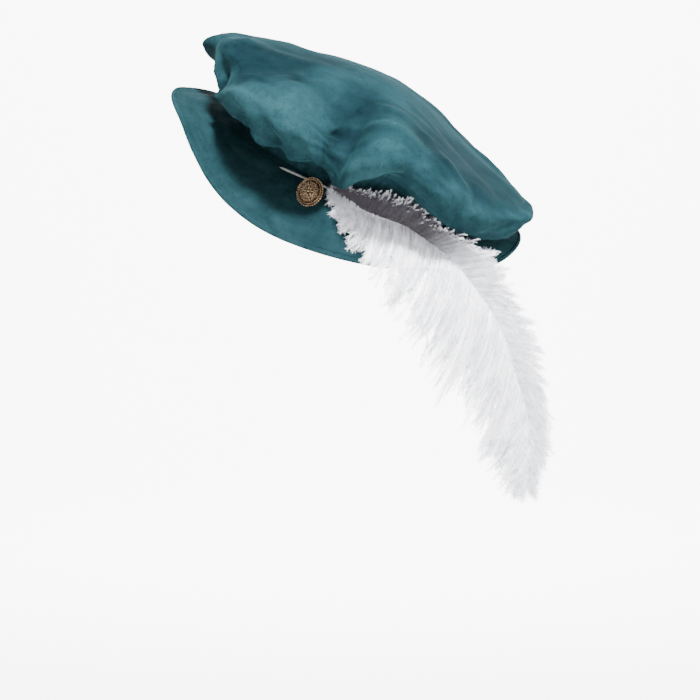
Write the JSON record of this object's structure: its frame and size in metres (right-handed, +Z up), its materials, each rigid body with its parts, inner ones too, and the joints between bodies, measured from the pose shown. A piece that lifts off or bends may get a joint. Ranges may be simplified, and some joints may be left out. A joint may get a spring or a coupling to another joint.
{
  "type": "tudor hat",
  "caption": "Soft velvet Tudor bonnet with a full crown tacked over one ear, a drooping stiffened brim, a filigree button and a long white ostrich plume.",
  "frame": {"origin": "centre of the oval head opening, in the plane of the seam between crown and brim", "axes": "+Z up as worn, -Y to the wearer's front, +X to the wearer's left; the opening's plane is tipped 23.2 degrees back and 14.4 degrees to the left"},
  "size_m": [0.2956, 0.3266, 0.3977],
  "materials": {
    "crown_velvet": "teal velvet, soft nap",
    "brim_velvet": "teal velvet over a stiffener",
    "antique_gold": "darkened antique gold casting",
    "white_plume": "white ostrich feather, grey at the root"
  },
  "bodies": {
    "root": {"crown": "crown_velvet", "brim": "brim_velvet", "button": "antique_gold", "plume": "white_plume"}
  },
  "joints": []
}
